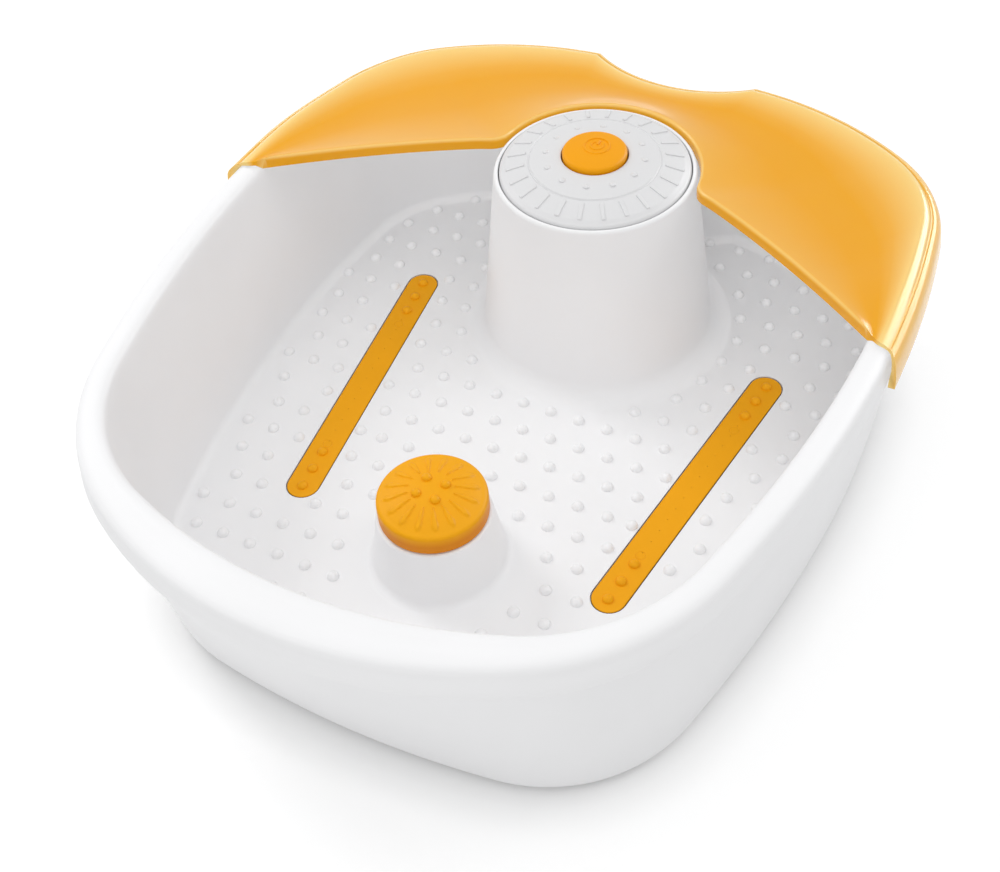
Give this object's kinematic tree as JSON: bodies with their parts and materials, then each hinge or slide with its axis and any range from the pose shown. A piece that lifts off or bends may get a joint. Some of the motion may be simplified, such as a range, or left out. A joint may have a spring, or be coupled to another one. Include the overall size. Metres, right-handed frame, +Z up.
{
  "type": "pedicure foot bath",
  "caption": "White foot bath with a dished rim, a control column with a dial and a button, a massage pad, bubble strips in the floor and a lift-off amber splash guard.",
  "frame": {"origin": "middle of the bounding box seen from above, on the plane the feet stand on", "axes": "+Z up, +Y from the user's side towards the column at the back, +X to the user's right"},
  "size_m": [0.3554, 0.419, 0.1426],
  "materials": {
    "white_abs": "white moulded plastic, semi-gloss",
    "orange_abs": "orange moulded plastic, satin",
    "amber_clear": "translucent amber plastic, glossy",
    "grey_hose": "grey hose",
    "grey_abs": "grey moulded plastic",
    "steel": "plated steel",
    "ferrite": "dark ferrite",
    "bronze": "bronze",
    "copper_winding": "wound rotor",
    "black_plastic": "black moulded plastic",
    "black_rubber": "black rubber",
    "board": "green circuit board",
    "aluminium": "rolled sheet"
  },
  "bodies": {
    "bath": {"tub": "white_abs", "base_housing": "white_abs", "bubble_strip_left": "orange_abs", "bubble_strip_right": "orange_abs", "air_channel_left": "white_abs", "air_channel_right": "white_abs", "air_hose_left": "grey_hose", "air_hose_right": "grey_hose", "blower_base": "white_abs", "blower_cover": "white_abs", "blower_screws": "steel", "motor_can": "steel", "motor_magnets": "ferrite", "motor_bearings": "bronze", "motor_screws": "steel", "button_spring": "steel", "power_switch": "black_plastic", "switch_carrier": "white_abs", "carrier_screws": "steel", "dial_seal": "black_rubber", "control_board": "board", "board_screws": "steel", "heater_plate": "aluminium", "thermostat": "black_plastic", "terminal_block": "black_plastic", "cord_gland": "black_rubber", "rubber_feet": "black_rubber", "base_screws": "steel"},
    "guard": {"splash_guard": "amber_clear"},
    "pad": {"massage_pad": "orange_abs"},
    "button": {"power_button": "orange_abs"},
    "dial": {"function_dial": "white_abs", "dial_wiper_ring": "bronze"},
    "rotor": {"motor_shaft": "steel", "motor_rotor": "copper_winding", "impeller": "grey_abs", "eccentric_weight": "steel"}
  },
  "joints": [
    {"name": "button_press", "type": "slide", "parent": "dial", "child": "button", "axis": [0, 0, -1], "range_m": [0, 0.0025], "stiffness_N_per_m": 800, "springref_m": -0.0015, "deforming": ["button_spring"]},
    {"name": "dial_turn", "type": "hinge", "parent": "bath", "child": "dial", "pos_m": [0, 0.099, 0.13], "axis": [0, 0, 1], "range_deg": [0, 270]},
    {"name": "guard_lift", "type": "slide", "parent": "bath", "child": "guard", "axis": [0, 0, 1], "range_m": [0, 0.06]},
    {"name": "pad_lift", "type": "slide", "parent": "bath", "child": "pad", "axis": [0, 0, 1], "range_m": [0, 0.1]},
    {"name": "blower_spin", "type": "hinge", "parent": "bath", "child": "rotor", "pos_m": [0, 0.099, 0.05], "axis": [0, 0, 1], "continuous": true}
  ]
}
